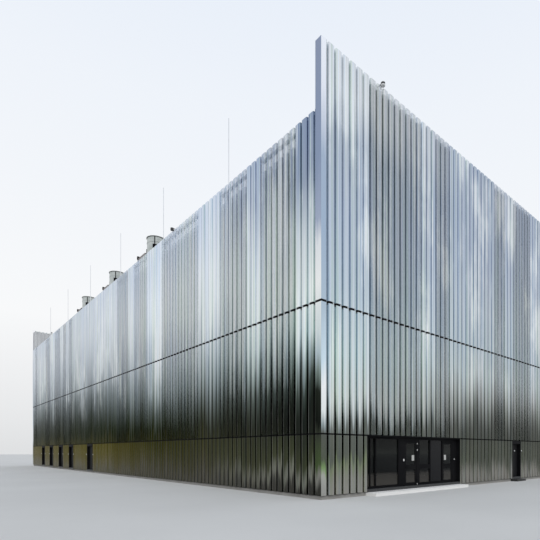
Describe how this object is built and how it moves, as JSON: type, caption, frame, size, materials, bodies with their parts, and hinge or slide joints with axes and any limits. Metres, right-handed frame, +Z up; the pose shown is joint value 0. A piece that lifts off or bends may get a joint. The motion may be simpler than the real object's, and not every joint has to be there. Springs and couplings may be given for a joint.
{
  "type": "data centre building, scale model at 1:2",
  "caption": "Box-shaped data centre clad in ribbed reflective steel, with tall end parapets, a dark glazed entrance, service doors, roof fan stacks and lightning rods.",
  "frame": {"origin": "centre of the building's footprint at ground level", "axes": "+Z up, the glazed entrance front faces -Y, the long side with the service doors faces -X"},
  "size_m": [12.397, 28.327, 9.507],
  "materials": {
    "steel": "polished ribbed sheet",
    "corner_steel": "polished folded sheet",
    "galvanised": "galvanised",
    "wall": "dark rendered wall panel",
    "concrete": "cast concrete",
    "roof": "roof membrane",
    "threshold": "pale cast stone",
    "frame": "dark satin paint",
    "glass": "dark tinted glass",
    "panel": "dark gloss panel",
    "door": "dark satin paint",
    "grating": "galvanised grating, dark",
    "stack": "galvanised sheet",
    "housing": "weathered grey paint",
    "rod": "bare metal",
    "camera": "white and dark housing"
  },
  "bodies": {
    "building": {"front_cladding_low": "steel", "front_cladding_middle": "steel", "front_cladding_top": "steel", "front_rails": "galvanised", "left_cladding_low": "steel", "left_cladding_middle": "steel", "left_cladding_top": "steel", "left_rails": "galvanised", "right_cladding_lower": "steel", "right_cladding_top": "steel", "right_rails": "galvanised", "back_cladding_lower": "steel", "back_cladding_top": "steel", "back_rails": "galvanised", "corner_angles": "corner_steel", "front_wall_piers": "wall", "front_wall_upper": "wall", "back_wall": "wall", "left_wall_piers": "wall", "left_wall_upper": "wall", "right_wall": "wall", "floor_slab": "concrete", "roof_slab": "roof", "entrance_threshold": "threshold", "door_sills": "galvanised", "entrance_frame": "frame", "entrance_glass": "glass", "entrance_panel": "panel", "service_door_frame": "frame", "service_door_step": "grating", "side_door_frames": "frame", "fan_stacks": "stack", "fan_housings": "housing", "lightning_rods": "rod", "dome_cameras": "camera"},
    "entrance_leaf_one": {"entrance_leaf_one": "frame", "entrance_leaf_one_glass": "glass"},
    "entrance_leaf_two": {"entrance_leaf_two": "frame", "entrance_leaf_two_glass": "glass"},
    "service_door_leaf": {"service_door_leaf": "door"},
    "side_door_1_leaf_a": {"side_door_1_leaf_a": "door"},
    "side_door_1_leaf_b": {"side_door_1_leaf_b": "door"},
    "side_door_2_leaf_a": {"side_door_2_leaf_a": "door"},
    "side_door_2_leaf_b": {"side_door_2_leaf_b": "door"},
    "side_door_3_leaf_a": {"side_door_3_leaf_a": "door"},
    "side_door_3_leaf_b": {"side_door_3_leaf_b": "door"},
    "side_door_4_leaf_a": {"side_door_4_leaf_a": "door"},
    "side_door_4_leaf_b": {"side_door_4_leaf_b": "door"},
    "side_door_5_leaf_a": {"side_door_5_leaf_a": "door"},
    "side_door_5_leaf_b": {"side_door_5_leaf_b": "door"}
  },
  "joints": [
    {"name": "entrance_leaf_one_hinge", "type": "hinge", "parent": "building", "child": "entrance_leaf_one", "pos_m": [-3.09, -13.899, 0.6], "axis": [0, 0, 1], "range_deg": [0, 90]},
    {"name": "entrance_leaf_two_hinge", "type": "hinge", "parent": "building", "child": "entrance_leaf_two", "pos_m": [-1.944, -13.899, 0.6], "axis": [0, 0, -1], "range_deg": [0, 90]},
    {"name": "service_door_hinge", "type": "hinge", "parent": "building", "child": "service_door_leaf", "pos_m": [2.26, -13.899, 0.6], "axis": [0, 0, 1], "range_deg": [0, 90]},
    {"name": "side_door_1_hinge_a", "type": "hinge", "parent": "building", "child": "side_door_1_leaf_a", "pos_m": [-6.054, 0.74, 0.6], "axis": [0, 0, 1], "range_deg": [0, 90]},
    {"name": "side_door_1_hinge_b", "type": "hinge", "parent": "building", "child": "side_door_1_leaf_b", "pos_m": [-6.054, 1.56, 0.6], "axis": [0, 0, -1], "range_deg": [0, 90]},
    {"name": "side_door_2_hinge_a", "type": "hinge", "parent": "building", "child": "side_door_2_leaf_a", "pos_m": [-6.054, 3.94, 0.6], "axis": [0, 0, 1], "range_deg": [0, 90]},
    {"name": "side_door_2_hinge_b", "type": "hinge", "parent": "building", "child": "side_door_2_leaf_b", "pos_m": [-6.054, 4.76, 0.6], "axis": [0, 0, -1], "range_deg": [0, 90]},
    {"name": "side_door_3_hinge_a", "type": "hinge", "parent": "building", "child": "side_door_3_leaf_a", "pos_m": [-6.054, 6.04, 0.6], "axis": [0, 0, 1], "range_deg": [0, 90]},
    {"name": "side_door_3_hinge_b", "type": "hinge", "parent": "building", "child": "side_door_3_leaf_b", "pos_m": [-6.054, 6.86, 0.6], "axis": [0, 0, -1], "range_deg": [0, 90]},
    {"name": "side_door_4_hinge_a", "type": "hinge", "parent": "building", "child": "side_door_4_leaf_a", "pos_m": [-6.054, 8.24, 0.6], "axis": [0, 0, 1], "range_deg": [0, 90]},
    {"name": "side_door_4_hinge_b", "type": "hinge", "parent": "building", "child": "side_door_4_leaf_b", "pos_m": [-6.054, 9.06, 0.6], "axis": [0, 0, -1], "range_deg": [0, 90]},
    {"name": "side_door_5_hinge_a", "type": "hinge", "parent": "building", "child": "side_door_5_leaf_a", "pos_m": [-6.054, 10.34, 0.6], "axis": [0, 0, 1], "range_deg": [0, 90]},
    {"name": "side_door_5_hinge_b", "type": "hinge", "parent": "building", "child": "side_door_5_leaf_b", "pos_m": [-6.054, 11.16, 0.6], "axis": [0, 0, -1], "range_deg": [0, 90]}
  ]
}
